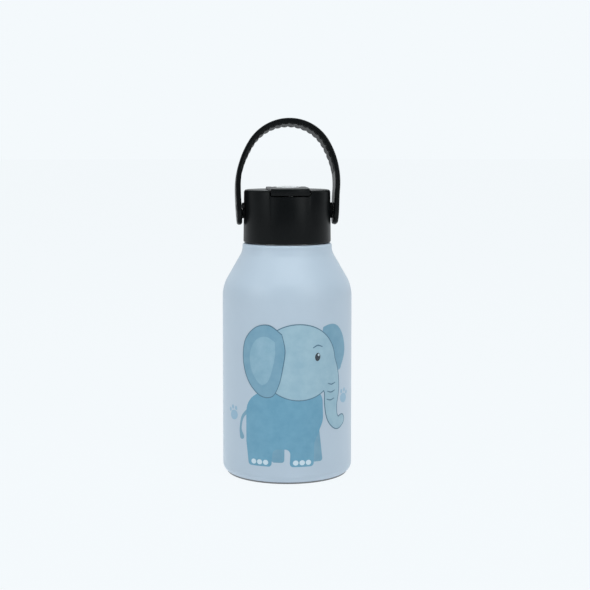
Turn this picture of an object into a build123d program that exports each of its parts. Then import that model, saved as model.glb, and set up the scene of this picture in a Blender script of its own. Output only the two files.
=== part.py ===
from build123d import *
import os
from math import asin, cos, pi, radians, sin, tan

os.makedirs("parts", exist_ok=True)

# Insulated children's drinking bottle with a screw lid, a flip cover, a fold-down
# mouthpiece with a straw, and a swinging carry handle.
# Millimetres, +Z up, origin at the centre of the foot, the drinking side faces -Y.

# ---- outer body -------------------------------------------------------------
LID_TOP = 160.0        # top of the lid above the ground
RIM_Z = LID_TOP - 17.6  # top of the steel mouth
BODY_R = 36.5          # outside radius of the straight wall
BODY_WALL = 0.5        # steel of the outer shell
SKIRT_Z = 0.9          # the painted wall starts here, above the bare foot
BASE_ROUND = 5.0       # rounding between wall and foot
CONE_DEG = 29.8        # shoulder slope, from the vertical
SHOULDER_ROUND = 21.0  # wall into shoulder
COLLAR_ROUND = 10.0    # shoulder into collar
FLASK_ROUND = 4.0      # inner shoulder into the mouth
COLLAR_R = 25.2        # outside radius of the painted collar
COLLAR_TOP = RIM_Z - 12.5
SHOULDER_TOP = COLLAR_TOP - 4.5  # where shoulder slope and collar would meet as sharp corners

# ---- inner flask and vacuum gap ---------------------------------------------
VACUUM_GAP = 2.5
FLASK_WALL = 0.4
FLASK_BASE_Z = 7.0     # underside of the inner base
BASE_CUP = 3.4         # height of the inner base's upright rim

# ---- mouth and thread -------------------------------------------------------
MOUTH_WALL = 0.4
NECK_BORE_R = 19.8     # inside of the mouth
NECK_ROOT_R = 21.0
NECK_CREST_R = 22.0
PITCH = 4.0
TURNS = 1.5
NECK_THREAD_Z = RIM_Z - 8.0  # middle of the neck thread where it starts
RIDGE_ROOT_W = 1.9
RIDGE_CREST_W = 1.0

# ---- lid --------------------------------------------------------------------
LID_BOTTOM = RIM_Z - 12.0
LID_R_LOW = 24.7
LID_R_TOP = 24.35
LINER_CREST_R = 21.3
LINER_ROOT_R = 22.2
LINER_R = 23.2
GASKET_T = 1.8
DISC_T = 1.2
FLOOR_T = 1.4
DISC_Z = RIM_Z + GASKET_T        # underside of the liner's disc
FLOOR_Z = DISC_Z + DISC_T        # underside of the lid's floor
WELL_Z = FLOOR_Z + FLOOR_T       # top of the lid's floor

# ---- mouthpiece and straw ---------------------------------------------------
SPOUT_R = 4.4
SPOUT_BORE_R = 2.5
SPOUT_LEN = 20.8
SPOUT_Z = LID_TOP - 7.0          # height of the folding point
STRAW_R = 3.2
STRAW_BORE_R = 2.5
STRAW_LOW = FLASK_BASE_Z + 3.0
CHANNEL_HALF = 6.2               # half width of the well the mouthpiece folds into

# ---- flip cover -------------------------------------------------------------
HINGE_Y = 9.0
HINGE_Z = LID_TOP - 1.5
BARREL_R = 2.85
BARREL_HALF = 7.3
EAR_IN = 8.3
COVER_HALF = 11.3
LIP_HALF = 10.7
LIP_LOW = LID_TOP - 2.9
NOTCH_HALF = 11.4
NOTCH_LOW = LID_TOP - 3.5
COVER_LOW = LID_TOP - 1.6
COVER_GAP = 0.35
HINGE_PIN_R = 1.0
COVER_OPEN_DEG = 120.0
INLAY_HALF = 6.2
INLAY_TOP = LID_TOP + 2.1

# ---- carry handle -----------------------------------------------------------
PIVOT_Z = LID_TOP - 11.8
LEAN_DEG = 8.5         # the handle rests leaning back by this much
BAND_T = 2.85          # the inner face keeps its place when this changes
ARCH_HALF = BAND_T + 26.55  # half width at the widest level
ARCH_WIDE_V = 14.3     # widest level, above the pivot
CROWN_R = BAND_T + 23.45
CROWN_V = BAND_T + 48.95    # top of the arch, above the pivot
ARM_IN_DEG = 2.9       # the straight arms lean in by this much
END_R = 8.15           # rounded arm end, about the pivot
CROWN_WIDTH = 13.0
BOSS_R = 4.45
BOSS_X = LID_R_LOW + 0.75  # end face of the lid's handle boss
SIDE_GAP = 0.3
PIN_R = 1.5
HEAD_R = 3.5
GRIP_V = 21.5          # the ribbed grip starts at this height above the pivot
GRIP_SET = 1.2         # depth of the grip's seat in the band
GRIP_HALF = 5.9        # half width of the grip
RIBS = 22
RIB_H = 0.5

# ---- clearances -------------------------------------------------------------
RUN = 0.05             # radial running clearance of a pin
FREE = 0.3             # clearance between parts that move past each other


def outline(points):
    """Closed face from corners (a, b) or (a, b, corner radius)."""
    count = len(points)
    legs = []
    for i in range(count):
        corner = Vector(points[i][0], points[i][1])
        before = Vector(points[i - 1][0], points[i - 1][1])
        after = Vector(points[(i + 1) % count][0], points[(i + 1) % count][1])
        radius = points[i][2] if len(points[i]) > 2 else 0
        if radius == 0:
            legs.append((corner, corner, corner))
            continue
        back = (before - corner).normalized()
        on = (after - corner).normalized()
        half = radians(back.get_angle(on)) / 2
        middle = corner + (back + on).normalized() * (radius / sin(half))
        tip = middle + (corner - middle).normalized() * radius
        legs.append((corner + back * (radius / tan(half)), tip, corner + on * (radius / tan(half))))
    edges = []
    for i in range(count):
        start, tip, end = legs[i]
        if (start - end).length > 1e-6:
            edges.append(ThreePointArc(start, tip, end))
        follow = legs[(i + 1) % count][0]
        if (follow - end).length > 1e-6:
            edges.append(Line(end, follow))
    return make_face(Wire(edges))


def turned(points):
    """Solid turned about Z from (radius, height) corners."""
    return revolve(Plane.XZ * outline(points), Axis.Z)


def slab(plane, points, low, high):
    """Outline in a plane, pulled from low to high along the plane's normal."""
    return extrude(plane.offset(low) * outline(points), high - low)


def tube(outer, inner, low, high):
    ring = Cylinder(outer, high - low, align=(Align.CENTER, Align.CENTER, Align.MIN))
    ring -= Cylinder(inner, high - low, align=(Align.CENTER, Align.CENTER, Align.MIN))
    # turned a quarter so that a thread never starts on the seam
    return Pos(0, 0, low) * Rot(0, 0, 90) * ring


def rod_x(radius, x_low, x_high, y, z):
    bar = Cylinder(radius, x_high - x_low, align=(Align.CENTER, Align.CENTER, Align.MIN))
    return Pos(x_low, y, z) * Rot(0, 90, 0) * bar


def block(x0, x1, y0, y1, z0, z1):
    return Pos((x0 + x1) / 2, (y0 + y1) / 2, (z0 + z1) / 2) * Box(x1 - x0, y1 - y0, z1 - z0)


def mirrored(solid):
    return mirror(solid, about=Plane.YZ)


def save(node, shape, color):
    solids = shape.solids()
    part = solids[0] if len(solids) == 1 else Compound(children=solids)
    part.label = node
    part.color = Color(*color)
    export_step(part, "parts/" + node + ".step")
    box = part.bounding_box()
    print(node, len(solids), "solid", round(part.volume, 1), "mm3", box.min, box.max)


BLUE = (0.41, 0.51, 0.61)
BLACK = (0.03, 0.03, 0.035)
STEEL = (0.62, 0.63, 0.65)
GREY = (0.55, 0.57, 0.58)

# ---- outer shell: one drawn steel skin, painted outside -----------------------
CONE = tan(radians(CONE_DEG))
cone_foot = SHOULDER_TOP - (BODY_R - COLLAR_R) / CONE
inner_body = BODY_R - BODY_WALL
inner_collar = COLLAR_R - BODY_WALL
shift = BODY_WALL / cos(radians(CONE_DEG))
inner_foot = cone_foot - (shift - BODY_WALL) / CONE
inner_top = inner_foot + (inner_body - inner_collar) / CONE
round_mid = BASE_ROUND + SKIRT_Z - 0.8
base_low = SKIRT_Z - 2.0
corner_z = round_mid - BASE_ROUND
outer_fill = turned([
    (0, corner_z), (BODY_R, corner_z, BASE_ROUND), (BODY_R, cone_foot, SHOULDER_ROUND),
    (COLLAR_R, SHOULDER_TOP, COLLAR_ROUND), (COLLAR_R, COLLAR_TOP, 1.3), (0, COLLAR_TOP)])
inner_fill = turned([
    (0, corner_z + BODY_WALL), (inner_body, corner_z + BODY_WALL, BASE_ROUND - BODY_WALL),
    (inner_body, inner_foot, SHOULDER_ROUND - BODY_WALL),
    (inner_collar, inner_top, COLLAR_ROUND + BODY_WALL),
    (inner_collar, COLLAR_TOP - BODY_WALL, 1.3 - BODY_WALL), (0, COLLAR_TOP - BODY_WALL)])
shell = outer_fill - inner_fill
shell -= Pos(0, 0, (base_low + SKIRT_Z) / 2) * Cylinder(BODY_R, SKIRT_Z - base_low)
shell -= Pos(0, 0, COLLAR_TOP - 3) * Cylinder(NECK_ROOT_R, 6, align=(Align.CENTER, Align.CENTER, Align.MIN))
save("outer_shell", shell, BLUE)

# ---- foot of the outer wall: a pressed steel cup with a sealing dimple --------
FOOT_R = BODY_R - 2.3
FOOT_OUT = BODY_R - 2.6
FOOT_IN = BODY_R - 4.3
PANEL_R = BODY_R - 5.5
PANEL_Z = 2.6
DIMPLE_R = 3.0
DIMPLE_Z = PANEL_Z + 1.2
HOLE_R = 0.8
foot = turned([
    (HOLE_R, DIMPLE_Z), (DIMPLE_R, DIMPLE_Z), (DIMPLE_R + 0.4, PANEL_Z), (PANEL_R, PANEL_Z, 0.8),
    (FOOT_IN, 0, 0.3), (FOOT_OUT, 0, 0.3), (FOOT_R, 0.35), (FOOT_R, SKIRT_Z),
    (FOOT_R - 0.75, SKIRT_Z), (FOOT_R - 0.85, BODY_WALL), (FOOT_IN + 0.35, BODY_WALL),
    (PANEL_R + 0.3, PANEL_Z + BODY_WALL), (DIMPLE_R + 0.7, PANEL_Z + BODY_WALL),
    (DIMPLE_R + 0.3, DIMPLE_Z + BODY_WALL), (HOLE_R, DIMPLE_Z + BODY_WALL)])
save("outer_base", foot, STEEL)

bead = turned([
    (0, PANEL_Z + 0.35), (1.6, PANEL_Z + 0.35, 0.3), (DIMPLE_R - 0.3, DIMPLE_Z),
    (HOLE_R, DIMPLE_Z), (HOLE_R, DIMPLE_Z + 0.4), (0, DIMPLE_Z + 0.4)])
save("seal_bead", bead, (0.2, 0.22, 0.24))

PLATE_R = PANEL_R - 0.7
plate = turned([
    (0, PANEL_Z - 0.25), (8.0, PANEL_Z - 0.25), (8.6, PANEL_Z - 0.55), (PLATE_R - 0.5, PANEL_Z - 0.55),
    (PLATE_R, PANEL_Z - 0.3), (PLATE_R, PANEL_Z), (0, PANEL_Z)])
save("base_cover", plate, STEEL)

getter = turned([(0, PANEL_Z + BODY_WALL), (4.5, PANEL_Z + BODY_WALL), (4.5, PANEL_Z + BODY_WALL + 2.0, 0.5),
                 (0, PANEL_Z + BODY_WALL + 2.0)])
save("vacuum_getter", Pos(0, 15.0, 0) * getter, (0.35, 0.35, 0.36))

# ---- inner flask: drawn tube with its own shoulder and mouth ------------------
flask_r = inner_body - VACUUM_GAP
neck_in_r = NECK_BORE_R + MOUTH_WALL
gap_shift = (BODY_WALL + VACUUM_GAP) / cos(radians(CONE_DEG)) - (BODY_WALL + VACUUM_GAP)
flask_foot = cone_foot - gap_shift / CONE
flask_top = flask_foot + (flask_r - neck_in_r) / CONE
wall_shift = (FLASK_WALL / cos(radians(CONE_DEG)) - FLASK_WALL) / CONE
rim_low = FLASK_BASE_Z + BASE_CUP
flask_out = turned([
    (0, rim_low), (flask_r, rim_low), (flask_r, flask_foot, SHOULDER_ROUND - 3),
    (neck_in_r, flask_top, FLASK_ROUND),
    (neck_in_r, RIM_Z), (0, RIM_Z)])
flask_in = turned([
    (0, rim_low - 1), (flask_r - FLASK_WALL, rim_low - 1),
    (flask_r - FLASK_WALL, flask_foot - wall_shift, SHOULDER_ROUND - 3 - FLASK_WALL),
    (NECK_BORE_R, flask_top - wall_shift, FLASK_ROUND + FLASK_WALL),
    (NECK_BORE_R, RIM_Z + 1), (0, RIM_Z + 1)])
save("inner_flask", flask_out - flask_in, STEEL)

cup = turned([
    (0, FLASK_BASE_Z), (flask_r, FLASK_BASE_Z, 2.6), (flask_r, rim_low), (flask_r - FLASK_WALL, rim_low),
    (flask_r - FLASK_WALL, FLASK_BASE_Z + FLASK_WALL, 2.6 - FLASK_WALL), (0, FLASK_BASE_Z + FLASK_WALL)])
save("inner_base", cup, STEEL)


# ---- threads: one right-hand start each, half a pitch apart ------------------
def ridge(root, crest, start_z, sink):
    """Helical ridge standing from radius root to radius crest, sunk into the wall."""
    side = 1 if crest > root else -1
    inner = root - side * sink
    profile = Plane.XZ * outline([
        (inner, start_z - RIDGE_ROOT_W / 2), (root, start_z - RIDGE_ROOT_W / 2),
        (crest, start_z - RIDGE_CREST_W / 2), (crest, start_z + RIDGE_CREST_W / 2),
        (root, start_z + RIDGE_ROOT_W / 2), (inner, start_z + RIDGE_ROOT_W / 2)])
    path = Pos(0, 0, start_z) * Helix(pitch=PITCH, height=PITCH * TURNS, radius=root)
    return sweep(profile, path=path, is_frenet=True)


neck = tube(NECK_ROOT_R, neck_in_r, COLLAR_TOP - BODY_WALL, RIM_Z)
neck += ridge(NECK_ROOT_R, NECK_CREST_R, NECK_THREAD_Z, 0.3)
save("threaded_neck", neck, STEEL)

liner = tube(LINER_R, LINER_ROOT_R, LID_BOTTOM + 1.0, FLOOR_Z)
liner += ridge(LINER_ROOT_R, LINER_CREST_R, NECK_THREAD_Z - PITCH / 2, 0.3)
liner += tube(LINER_R, 1.0, DISC_Z, FLOOR_Z)
ROOT_NECK_R = 2.5 + 1.5
liner += tube(ROOT_NECK_R + 1.2, ROOT_NECK_R, DISC_Z - 5.0, FLOOR_Z)
liner -= Pos(0, 0, DISC_Z - 6) * Cylinder(ROOT_NECK_R, 12, align=(Align.CENTER, Align.CENTER, Align.MIN))
VENT_Y = -13.0
VENT_R = 1.8
liner -= Pos(0, VENT_Y, DISC_Z - 1) * Cylinder(VENT_R, 6, align=(Align.CENTER, Align.CENTER, Align.MIN))
save("lid_liner", liner, (0.75, 0.76, 0.76))

gasket = turned([
    (NECK_BORE_R - 0.5, RIM_Z), (LINER_ROOT_R - FREE, RIM_Z),
    (LINER_ROOT_R - FREE, DISC_Z), (NECK_BORE_R - 0.5, DISC_Z)])
save("lid_gasket", gasket, GREY)

# ---- lid shell ---------------------------------------------------------------
lid = turned([
    (0, LID_BOTTOM), (LID_R_LOW, LID_BOTTOM, 0.8), (LID_R_TOP, LID_TOP, 1.5), (0, LID_TOP)])
boss_root = LID_R_LOW - 8.2
for side in (1, -1):
    lo = boss_root if side > 0 else -BOSS_X
    lid += rod_x(BOSS_R, lo, lo + BOSS_X - boss_root, 0, PIVOT_Z)
lid -= Pos(0, 0, LID_BOTTOM - 1) * Cylinder(LINER_R, FLOOR_Z - LID_BOTTOM + 1,
                                            align=(Align.CENTER, Align.CENTER, Align.MIN))
hollow_top = LID_TOP - 4.6
WELL_WALL = 1.5
hollow = Pos(0, 0, FLOOR_Z - 1) * Cylinder(LID_R_TOP - 1.6, hollow_top - FLOOR_Z + 1,
                                           align=(Align.CENTER, Align.CENTER, Align.MIN))
hollow -= block(-CHANNEL_HALF - WELL_WALL, CHANNEL_HALF + WELL_WALL, -40, 40, 0, 200)
for side in (1, -1):
    hollow -= block(side * 25 - 8.4, side * 25 + 8.4, -6.2, 6.2, 0, 200)
lid -= hollow
WELL_FRONT = SPOUT_LEN + 0.6
WELL_BACK = SPOUT_R + 0.5
lid -= slab(Plane.XY, [
    (-CHANNEL_HALF, -WELL_FRONT, 1.5), (CHANNEL_HALF, -WELL_FRONT, 1.5),
    (CHANNEL_HALF, WELL_BACK, 1.5), (-CHANNEL_HALF, WELL_BACK, 1.5)], WELL_Z, LID_TOP + 1)
# rebate for the cover, wide at the hinge and narrower at the lip
recess_floor = COVER_LOW - COVER_GAP
REBATE = COVER_HALF + COVER_GAP
LIP_BACK = 21.0
lid -= slab(Plane.XY, [
    (-REBATE, HINGE_Y, 0), (-REBATE, -15.0, 6.0), (-NOTCH_HALF, -LIP_BACK - 0.4), (-NOTCH_HALF, -26),
    (NOTCH_HALF, -26), (NOTCH_HALF, -LIP_BACK - 0.4), (REBATE, -15.0, 6.0), (REBATE, HINGE_Y, 0)],
    recess_floor, LID_TOP + 1)
lid -= slab(Plane.XZ, [
    (-NOTCH_HALF, NOTCH_LOW, 1.7), (NOTCH_HALF, NOTCH_LOW, 1.7), (NOTCH_HALF, LID_TOP + 2),
    (-NOTCH_HALF, LID_TOP + 2)], LIP_BACK - 0.4, 30)
# trough round the hinge and the slope the open cover leans over
lean = radians(COVER_OPEN_DEG)
out_y, out_z = sin(lean), cos(lean)
run_y, run_z = -cos(lean), sin(lean)
reach = BARREL_R + 0.45
slope = [
    (HINGE_Y - 4, HINGE_Z), (HINGE_Y, HINGE_Z),
    (HINGE_Y + out_y * reach, HINGE_Z + out_z * reach),
    (HINGE_Y + out_y * reach + run_y * 8, HINGE_Z + out_z * reach + run_z * 8),
    (HINGE_Y - 4, HINGE_Z + out_z * reach + run_z * 8)]
lid -= slab(Plane.YZ, slope, -REBATE, REBATE)
lid -= rod_x(reach, -REBATE, REBATE, HINGE_Y, HINGE_Z)
for side in (1, -1):
    lo = EAR_IN if side > 0 else -REBATE - 0.2
    ear_len = REBATE + 0.2 - EAR_IN
    eye_lo = EAR_IN if side > 0 else -COVER_HALF
    lid += rod_x(BARREL_R, eye_lo, eye_lo + COVER_HALF - EAR_IN, HINGE_Y, HINGE_Z)
    lid += block(lo, lo + ear_len, HINGE_Y - 1.4, HINGE_Y + 1.4, HINGE_Z - 4.5, HINGE_Z)
PIN_END = 11.0
lid -= rod_x(HINGE_PIN_R, -PIN_END, PIN_END, HINGE_Y, HINGE_Z)
for side in (1, -1):
    lo = boss_root + 1.0 if side > 0 else -30
    lid -= rod_x(PIN_R, lo, lo + 30 - boss_root - 1.0, 0, PIVOT_Z)
ROOT_R = 4.0
lid -= Pos(0, 0, FLOOR_Z - 1) * Cylinder(ROOT_R, 4, align=(Align.CENTER, Align.CENTER, Align.MIN))
lid -= Pos(0, VENT_Y, FLOOR_Z - 1) * Cylinder(0.8, 4, align=(Align.CENTER, Align.CENTER, Align.MIN))
save("lid_shell", lid, BLACK)

valve = turned([
    (0.5, DISC_Z - 3.6), (0.9, DISC_Z - 3.6), (1.6, DISC_Z - 0.7), (3.0, DISC_Z - 0.7), (3.0, DISC_Z),
    (VENT_R, DISC_Z), (VENT_R, FLOOR_Z), (0.5, FLOOR_Z)])
save("vent_valve", Pos(0, VENT_Y, 0) * valve, GREY)

# ---- mouthpiece root: silicone grommet held in the lid's floor ----------------
root_top = SPOUT_Z - SPOUT_R - 0.35
grommet = turned([
    (SPOUT_BORE_R, DISC_Z - 9.0), (STRAW_R, DISC_Z - 9.0), (STRAW_R, DISC_Z - 5.4), (ROOT_R, DISC_Z - 5.0),
    (ROOT_R, WELL_Z), (ROOT_R + 0.8, WELL_Z), (ROOT_R + 0.8, root_top, 0.5), (SPOUT_BORE_R, root_top)])
save("mouthpiece_root", grommet, GREY)

sleeve = turned([
    (STRAW_R, DISC_Z - 17.0), (STRAW_R + 1.2, DISC_Z - 17.0, 0.3),
    (STRAW_R + 1.2, DISC_Z - 5.6, 0.3), (STRAW_R, DISC_Z - 5.6)])
save("straw_connector", sleeve, GREY)

straw = tube(STRAW_R, STRAW_BORE_R, STRAW_LOW, DISC_Z - 9.4)
straw -= slab(Plane.YZ, [
    (-STRAW_R - 1, STRAW_LOW - 1), (STRAW_R + 1, STRAW_LOW - 1), (-STRAW_R - 1, STRAW_LOW + 4.0)],
    -STRAW_R - 1, STRAW_R + 1)
save("straw", straw, (0.85, 0.87, 0.88))

# ---- mouthpiece, folded down towards the front --------------------------------
spout = Pos(0, 0, SPOUT_Z) * Sphere(SPOUT_R)
bar = turned([(0, 0), (SPOUT_R, 0), (SPOUT_R, SPOUT_LEN, 1.2), (0, SPOUT_LEN)])
spout += Pos(0, 0, SPOUT_Z) * Rot(90, 0, 0) * bar
hole = Pos(0, 0, (SPOUT_LEN - SPOUT_R + 1) / 2) * Cylinder(SPOUT_BORE_R, SPOUT_LEN + SPOUT_R + 3)
spout -= Pos(0, 0, SPOUT_Z) * Rot(90, 0, 0) * hole
save("mouthpiece", spout, GREY)

# ---- flip cover ---------------------------------------------------------------
top = HINGE_Z + BARREL_R
cover = slab(Plane.YZ, [
    (HINGE_Y, COVER_LOW), (HINGE_Y, top), (-8.0, top, 60.0), (-30.0, top - 0.62),
    (-30.0, LIP_LOW), (-LIP_BACK, LIP_LOW), (-LIP_BACK, COVER_LOW)], -COVER_HALF, COVER_HALF)
plan = slab(Plane.XY, [
    (-BARREL_HALF, HINGE_Y + 1), (-BARREL_HALF, HINGE_Y - BARREL_R - 0.5),
    (-COVER_HALF, HINGE_Y - BARREL_R - 0.5, 0.6),
    (-COVER_HALF, -15.0, 6.0), (-LIP_HALF, -LIP_BACK),
    (-LIP_HALF, -30), (LIP_HALF, -30), (LIP_HALF, -LIP_BACK),
    (COVER_HALF, -15.0, 6.0), (COVER_HALF, HINGE_Y - BARREL_R - 0.5, 0.6),
    (BARREL_HALF, HINGE_Y - BARREL_R - 0.5),
    (BARREL_HALF, HINGE_Y + 1)], LID_TOP - 10, LID_TOP + 10)
cover = cover & plan
cover = cover & (Pos(0, 0, LID_TOP) * Cylinder(LID_R_TOP, 20))
cover += rod_x(BARREL_R, -BARREL_HALF, BARREL_HALF, HINGE_Y, HINGE_Z)
cover -= rod_x(HINGE_PIN_R + RUN, -BARREL_HALF - 1, BARREL_HALF + 1, HINGE_Y, HINGE_Z)
# seat for the soft inlay
INLAY_BACK = 4.5
INLAY_FRONT = -12.0
SEAT = 0.8
cover -= slab(Plane.XY, [
    (-INLAY_HALF, INLAY_BACK, 3.0), (INLAY_HALF, INLAY_BACK, 3.0), (INLAY_HALF, INLAY_FRONT, 5.9),
    (-INLAY_HALF, INLAY_FRONT, 5.9)], top - SEAT, top + 3)
save("flip_cover", cover, BLACK)

inlay = slab(Plane.XY, [
    (-INLAY_HALF, INLAY_BACK, 3.0), (INLAY_HALF, INLAY_BACK, 3.0), (INLAY_HALF, INLAY_FRONT, 5.9),
    (-INLAY_HALF, INLAY_FRONT, 5.9)], top - SEAT, INLAY_TOP + 1)
dome_r = (INLAY_HALF ** 2 + 0.7 ** 2) / (2 * 0.7)
dome = Pos(0, 0, INLAY_TOP - dome_r) * Rot(90, 0, 0) * Cylinder(dome_r, 40)
long_r = 60.0
crown = rod_x(long_r, -10, 10, (INLAY_BACK + INLAY_FRONT) / 2, INLAY_TOP - long_r)
inlay = inlay & dome & crown
save("cover_inlay", inlay, (0.55, 0.58, 0.6))

save("hinge_pin", rod_x(HINGE_PIN_R, -PIN_END, PIN_END, HINGE_Y, HINGE_Z), STEEL)

# ---- handle: arch in its own plane, then leaned back about the pivot ----------
dz = CROWN_V - CROWN_R - ARCH_WIDE_V
SIDE_R = (ARCH_HALF ** 2 - CROWN_R ** 2 + dz ** 2) / (2 * (ARCH_HALF - CROWN_R))
side_x = ARCH_HALF - SIDE_R
crown_c = CROWN_V - CROWN_R
join = asin(dz / (SIDE_R - CROWN_R))
arm = radians(ARM_IN_DEG)


def side_point(depth, angle):
    reach_r = SIDE_R - depth
    return (side_x + reach_r * cos(angle), ARCH_WIDE_V + reach_r * sin(angle))


def arch(depth, low):
    """Wire points of the arch at a depth in from its outer face, down to level low."""
    edges = []
    foot_x, foot_v = side_point(depth, -arm)
    down_x = foot_x - (foot_v - low) * tan(arm)
    edges.append(Line((down_x, low), (foot_x, foot_v)))
    edges.append(ThreePointArc((foot_x, foot_v), side_point(depth, (join - arm) / 2),
                               side_point(depth, join)))
    jx, jv = side_point(depth, join)
    edges.append(ThreePointArc((jx, jv), (0, CROWN_V - depth), (-jx, jv)))
    edges.append(ThreePointArc((-jx, jv), (-side_point(depth, (join - arm) / 2)[0],
                                           side_point(depth, (join - arm) / 2)[1]), (-foot_x, foot_v)))
    edges.append(Line((-foot_x, foot_v), (-down_x, low)))
    return edges, down_x


out_edges, out_x = arch(0, -END_R - 2)
in_edges, in_x = arch(BAND_T, -END_R - 2)
feet = [Line((side * out_x, -END_R - 2), (side * in_x, -END_R - 2)) for side in (1, -1)]
ring = out_edges + in_edges + feet
upright = Plane(origin=(0, 0, PIVOT_Z), x_dir=(1, 0, 0), z_dir=(0, -1, 0))
band = extrude(upright.offset(-12) * make_face(Wire(ring)), 24)
taper = (END_R - CROWN_WIDTH / 2) / CROWN_V
side_face = slab(Plane.YZ, [
    (-END_R, PIVOT_Z - END_R, END_R - 0.01), (END_R, PIVOT_Z - END_R, END_R - 0.01), (END_R, PIVOT_Z + 2, 20),
    (CROWN_WIDTH / 2, PIVOT_Z + CROWN_V + 1),
    (-CROWN_WIDTH / 2, PIVOT_Z + CROWN_V + 1), (-END_R, PIVOT_Z + 2, 20)],
    -40, 40)
band = band & side_face
pad_x = BOSS_X + SIDE_GAP
for side in (1, -1):
    pad = rod_x(BOSS_R, pad_x, pad_x + 1.2, 0, PIVOT_Z)
    band += pad if side > 0 else mirrored(pad)
HEAD_SEAT = BOSS_X + 2.25
for side in (1, -1):
    bore = rod_x(PIN_R + RUN, 20, 32, 0, PIVOT_Z) + rod_x(HEAD_R + FREE, HEAD_SEAT, 32, 0, PIVOT_Z)
    band -= bore if side > 0 else mirrored(bore)


def inner_at(travel, depth):
    """Point and inward normal on the arch, a travelled angle fraction along the grip."""
    low_a = asin((GRIP_V - ARCH_WIDE_V) / (SIDE_R - BAND_T))
    side_len = (join - low_a) * (SIDE_R - BAND_T)
    crown_len = (pi / 2 - join) * (CROWN_R - BAND_T)
    total = 2 * (side_len + crown_len)
    s = travel * total
    mirror_x = 1
    if s > total / 2:
        s = total - s
        mirror_x = -1
    if s <= side_len:
        angle = low_a + s / (SIDE_R - BAND_T)
        x, v = side_point(depth, angle)
    else:
        angle = join + (s - side_len) / (CROWN_R - BAND_T)
        x = (CROWN_R - depth) * cos(angle)
        v = crown_c + (CROWN_R - depth) * sin(angle)
    return (mirror_x * x, v)


def grip_face(ribs):
    """Grip section: smooth where it sits in the band, ribbed towards the fingers."""
    low_a = asin((GRIP_V - ARCH_WIDE_V) / (SIDE_R - BAND_T))
    seat = BAND_T - GRIP_SET
    rx, rv = side_point(seat, low_a)
    jx, jv = side_point(seat, join)
    mx, mv = side_point(seat, (join + low_a) / 2)
    edges = [
        ThreePointArc((rx, rv), (mx, mv), (jx, jv)),
        ThreePointArc((jx, jv), (0, CROWN_V - seat), (-jx, jv)),
        ThreePointArc((-jx, jv), (-mx, mv), (-rx, rv))]
    skin = BAND_T if ribs else BAND_T + 1.0
    first = inner_at(0, skin)
    edges.append(Line((rx, rv), first))
    edges.append(Line((-rx, rv), (-first[0], first[1])))
    for i in range(RIBS):
        a = inner_at(i / RIBS, skin)
        b = inner_at((i + 1) / RIBS, skin)
        m = inner_at((i + 0.5) / RIBS, skin + (RIB_H if ribs else 0.02))
        edges.append(ThreePointArc(a, m, b))
    return make_face(Wire(edges))


band -= extrude(upright.offset(-GRIP_HALF) * grip_face(False), 2 * GRIP_HALF)
grip = extrude(upright.offset(-GRIP_HALF) * grip_face(True), 2 * GRIP_HALF)

pivot_axis = Axis((0, 0, PIVOT_Z), (1, 0, 0))
save("handle_band", band.rotate(pivot_axis, -LEAN_DEG), BLACK)
save("handle_grip", grip.rotate(pivot_axis, -LEAN_DEG), BLACK)

pin = rod_x(PIN_R, boss_root + 1.5, HEAD_SEAT + FREE, 0, PIVOT_Z)
pin += rod_x(HEAD_R, HEAD_SEAT + FREE, HEAD_SEAT + FREE + 0.5, 0, PIVOT_Z)
save("handle_pin_right", pin, STEEL)
save("handle_pin_left", mirrored(pin), STEEL)
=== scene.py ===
# %% [markdown]
# # A steel drinking bottle for a child
# The bottle has a painted double wall, a black screw lid with a flip cover, and a carry handle that swings.
# The measured CAD model comes in first and fixes every place and size. Each visible piece is then modelled
# again around it with rounded edges, and every surface gets a finish made of nodes.

# %% Load the measured frame
import bpy
from math import asin, ceil, cos, hypot, pi, radians, sin, sqrt, tan
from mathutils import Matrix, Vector


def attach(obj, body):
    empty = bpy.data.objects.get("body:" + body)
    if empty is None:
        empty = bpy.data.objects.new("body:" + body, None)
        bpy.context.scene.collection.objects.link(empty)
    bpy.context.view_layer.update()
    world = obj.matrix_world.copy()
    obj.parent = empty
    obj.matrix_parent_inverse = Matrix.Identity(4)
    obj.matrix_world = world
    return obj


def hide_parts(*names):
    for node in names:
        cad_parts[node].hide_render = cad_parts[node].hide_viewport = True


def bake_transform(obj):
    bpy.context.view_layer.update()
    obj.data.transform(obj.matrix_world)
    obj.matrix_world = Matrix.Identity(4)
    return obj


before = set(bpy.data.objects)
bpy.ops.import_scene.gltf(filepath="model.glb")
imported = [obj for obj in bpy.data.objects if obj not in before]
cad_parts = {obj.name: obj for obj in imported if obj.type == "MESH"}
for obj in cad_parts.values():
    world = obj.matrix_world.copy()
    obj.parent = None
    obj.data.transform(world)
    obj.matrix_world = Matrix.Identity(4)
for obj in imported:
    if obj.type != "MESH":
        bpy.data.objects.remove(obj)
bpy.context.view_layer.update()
MM = 0.001
TOUCHING = 0.001 * MM  # points nearer than this are one point

# %% [markdown]
# ## Small habits
# An operator acts on all that is selected, so everything is deselected before a primitive is added. A finished
# piece keeps its place in its mesh, with its object at the origin, so patterns on Object coordinates stay still.
# Smoothing by angle keeps the round walls soft and the real edges crisp.


# %% Selecting, settling and smoothing
def nothing_selected():
    if bpy.context.object and bpy.context.object.mode != "OBJECT":
        bpy.ops.object.mode_set(mode="OBJECT")
    bpy.ops.object.select_all(action="DESELECT")


def pick(piece):
    nothing_selected()
    piece.select_set(True)
    bpy.context.view_layer.objects.active = piece


def settle(piece, name, angle=35):
    """Name the piece, put its place in its mesh and smooth its round faces."""
    pick(piece)
    bpy.ops.object.transform_apply(location=True, rotation=True, scale=True)
    bpy.ops.object.shade_smooth_by_angle(angle=radians(angle))
    piece.name = name
    piece.data.name = name
    print(name, len(piece.data.polygons), "faces")
    return piece


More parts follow.
